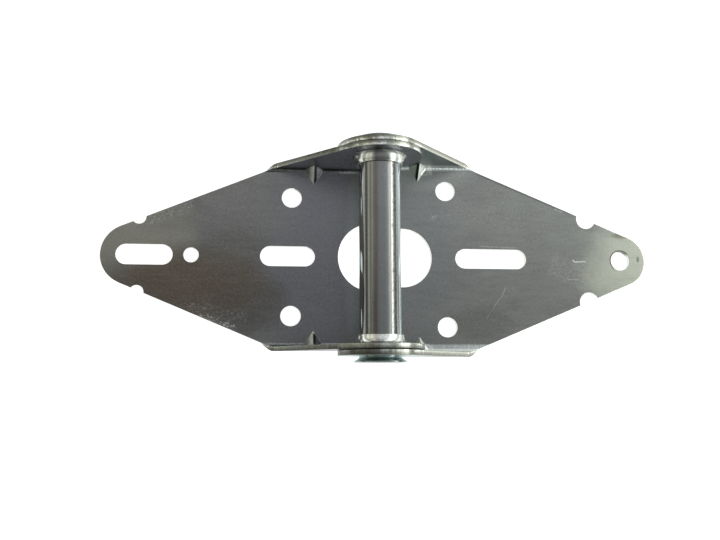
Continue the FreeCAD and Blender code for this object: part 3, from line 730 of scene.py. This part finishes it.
class HINGE_OT_studio(bpy.types.Operator):
    """Set up the pale floor, the soft light and the camera"""

    bl_idname = "hinge.studio"
    bl_label = "Studio"

    def execute(self, context):
        studio = context.scene.hinge_studio
        bpy.ops.object.select_all(action="DESELECT")
        ground = -(AXIS_HEIGHT + FLOOR_GAP) * MM
        bpy.ops.mesh.primitive_plane_add(size=FLOOR_SIZE, location=(0, 0, ground))
        floor = context.object
        floor.name = "floor"
        floor.data.materials.append(self.floor_finish())
        self.light_world(context.scene)
        strip, fill = studio.strip_light, studio.fill_light
        self.add_lamp("strip_light", strip, (0.537, -0.02, 0.268), (1.0, 1.0, 0.99))
        self.add_lamp("fill_light", fill, (-0.56, -0.02, 0.20), (1.0, 1.0, 0.88))
        bpy.ops.object.camera_add(location=studio.camera_place, rotation=studio.camera_turn)
        camera = context.object
        camera.data.lens = studio.lens
        camera.data.clip_start = 0.01
        context.scene.camera = camera
        context.scene.view_settings.view_transform = "Standard"
        return {"FINISHED"}

    def floor_finish(self):
        """White paper: the camera and mirror rays see it evenly lit, with a soft shadow."""
        material = bpy.data.materials.new("floor_paper")
        tree = Tree(material)
        sight = self.sight(tree)
        paper = tree.add("ShaderNodeBsdfDiffuse", inputs={"Color": (PAPER, PAPER, PAPER, 1)})
        places = {"Color": WHITE, "Strength": sight * PAPER_GLOW}
        glow = tree.add("ShaderNodeEmission", inputs=places)
        surface = tree.add("ShaderNodeAddShader", inputs={0: paper, 1: glow})
        tree.add("ShaderNodeOutputMaterial", inputs={"Surface": surface})
        return material

    def sight(self, tree):
        """1 for the rays by which the camera sees a thing: straight, mirrored or through glass."""
        rays = tree.add("ShaderNodeLightPath").output.node.outputs
        names = ("Is Camera Ray", "Is Glossy Ray", "Is Transmission Ray")
        camera, glossy, through = (Socket(tree, rays[name]) for name in names)
        return (camera + glossy + through).at_most(1.0)

    def light_world(self, scene):
        """A soft dome, dim overhead and bright over the outer leaf, with a white background."""
        world = bpy.data.worlds.new("studio_dome")
        scene.world = world
        tree = Tree(world)
        direction = tree.add("ShaderNodeTexCoord", output="Generated")
        x, y, z = tree.split(direction)
        turn = x.math("ARCTAN2", z) / math.tau + 0.5
        stops = tuple((degrees / 360 + 0.5, colour) for degrees, colour in DIRECTION_STOPS)
        dome = tree.add("ShaderNodeValToRGB", {"stops": stops}, {0: turn})
        levels = tuple((reach / 2 + 0.5, (level, level, level)) for reach, level in ALONG_STOPS)
        gain = tree.add("ShaderNodeValToRGB", {"stops": levels}, {0: y / 2 + 0.5})
        rays = tree.add("ShaderNodeLightPath").output.node.outputs
        straight = Socket(tree, rays["Is Camera Ray"]) + Socket(tree, rays["Is Transmission Ray"])
        colour = tree.mix(straight, dome, WHITE)
        strength = gain * (1 - straight) + straight
        surface = tree.add("ShaderNodeBackground", inputs={"Color": colour, "Strength": strength})
        tree.add("ShaderNodeOutputWorld", inputs={"Surface": surface})

    def add_lamp(self, name, power, place, colour):
        """A long soft lamp that faces the middle of the hinge."""
        towards = -Vector(place)
        turn = towards.to_track_quat("-Z", "Y").to_euler()
        bpy.ops.object.light_add(type="AREA", location=place, rotation=turn)
        lamp = bpy.context.object
        lamp.name = name
        lamp.data.shape = "RECTANGLE"
        lamp.data.size, lamp.data.size_y = LAMP_SIZE
        lamp.data.energy = power
        lamp.data.color = colour


class HINGE_PT_sidebar(bpy.types.Panel):
    """Lists the steps and their settings"""

    bl_label = "Hinge"
    bl_idname = "HINGE_PT_sidebar"
    bl_space_type = "VIEW_3D"
    bl_region_type = "UI"
    bl_category = "Hinge"

    def draw(self, context):
        for step in STEPS:
            self.layout.operator(step.bl_idname)
        for group in (context.scene.hinge_finish, context.scene.hinge_studio):
            for name in group.__annotations__:
                self.layout.prop(group, name)


STEPS = (HINGE_OT_inner_leaf, HINGE_OT_outer_leaf, HINGE_OT_tube, HINGE_OT_studio)
CLASSES = (HingeFinish, HingeStudio, *STEPS, HINGE_PT_sidebar)


def register():
    for item in CLASSES:
        bpy.utils.register_class(item)
    bpy.types.Scene.hinge_finish = PointerProperty(type=HingeFinish)
    bpy.types.Scene.hinge_studio = PointerProperty(type=HingeStudio)


def unregister():
    del bpy.types.Scene.hinge_studio
    del bpy.types.Scene.hinge_finish
    for item in reversed(CLASSES):
        bpy.utils.unregister_class(item)


def main():
    register()
    bpy.ops.hinge.inner_leaf()
    bpy.ops.hinge.outer_leaf()
    bpy.ops.hinge.tube()
    bpy.ops.hinge.studio()


if __name__ == "__main__":
    main()
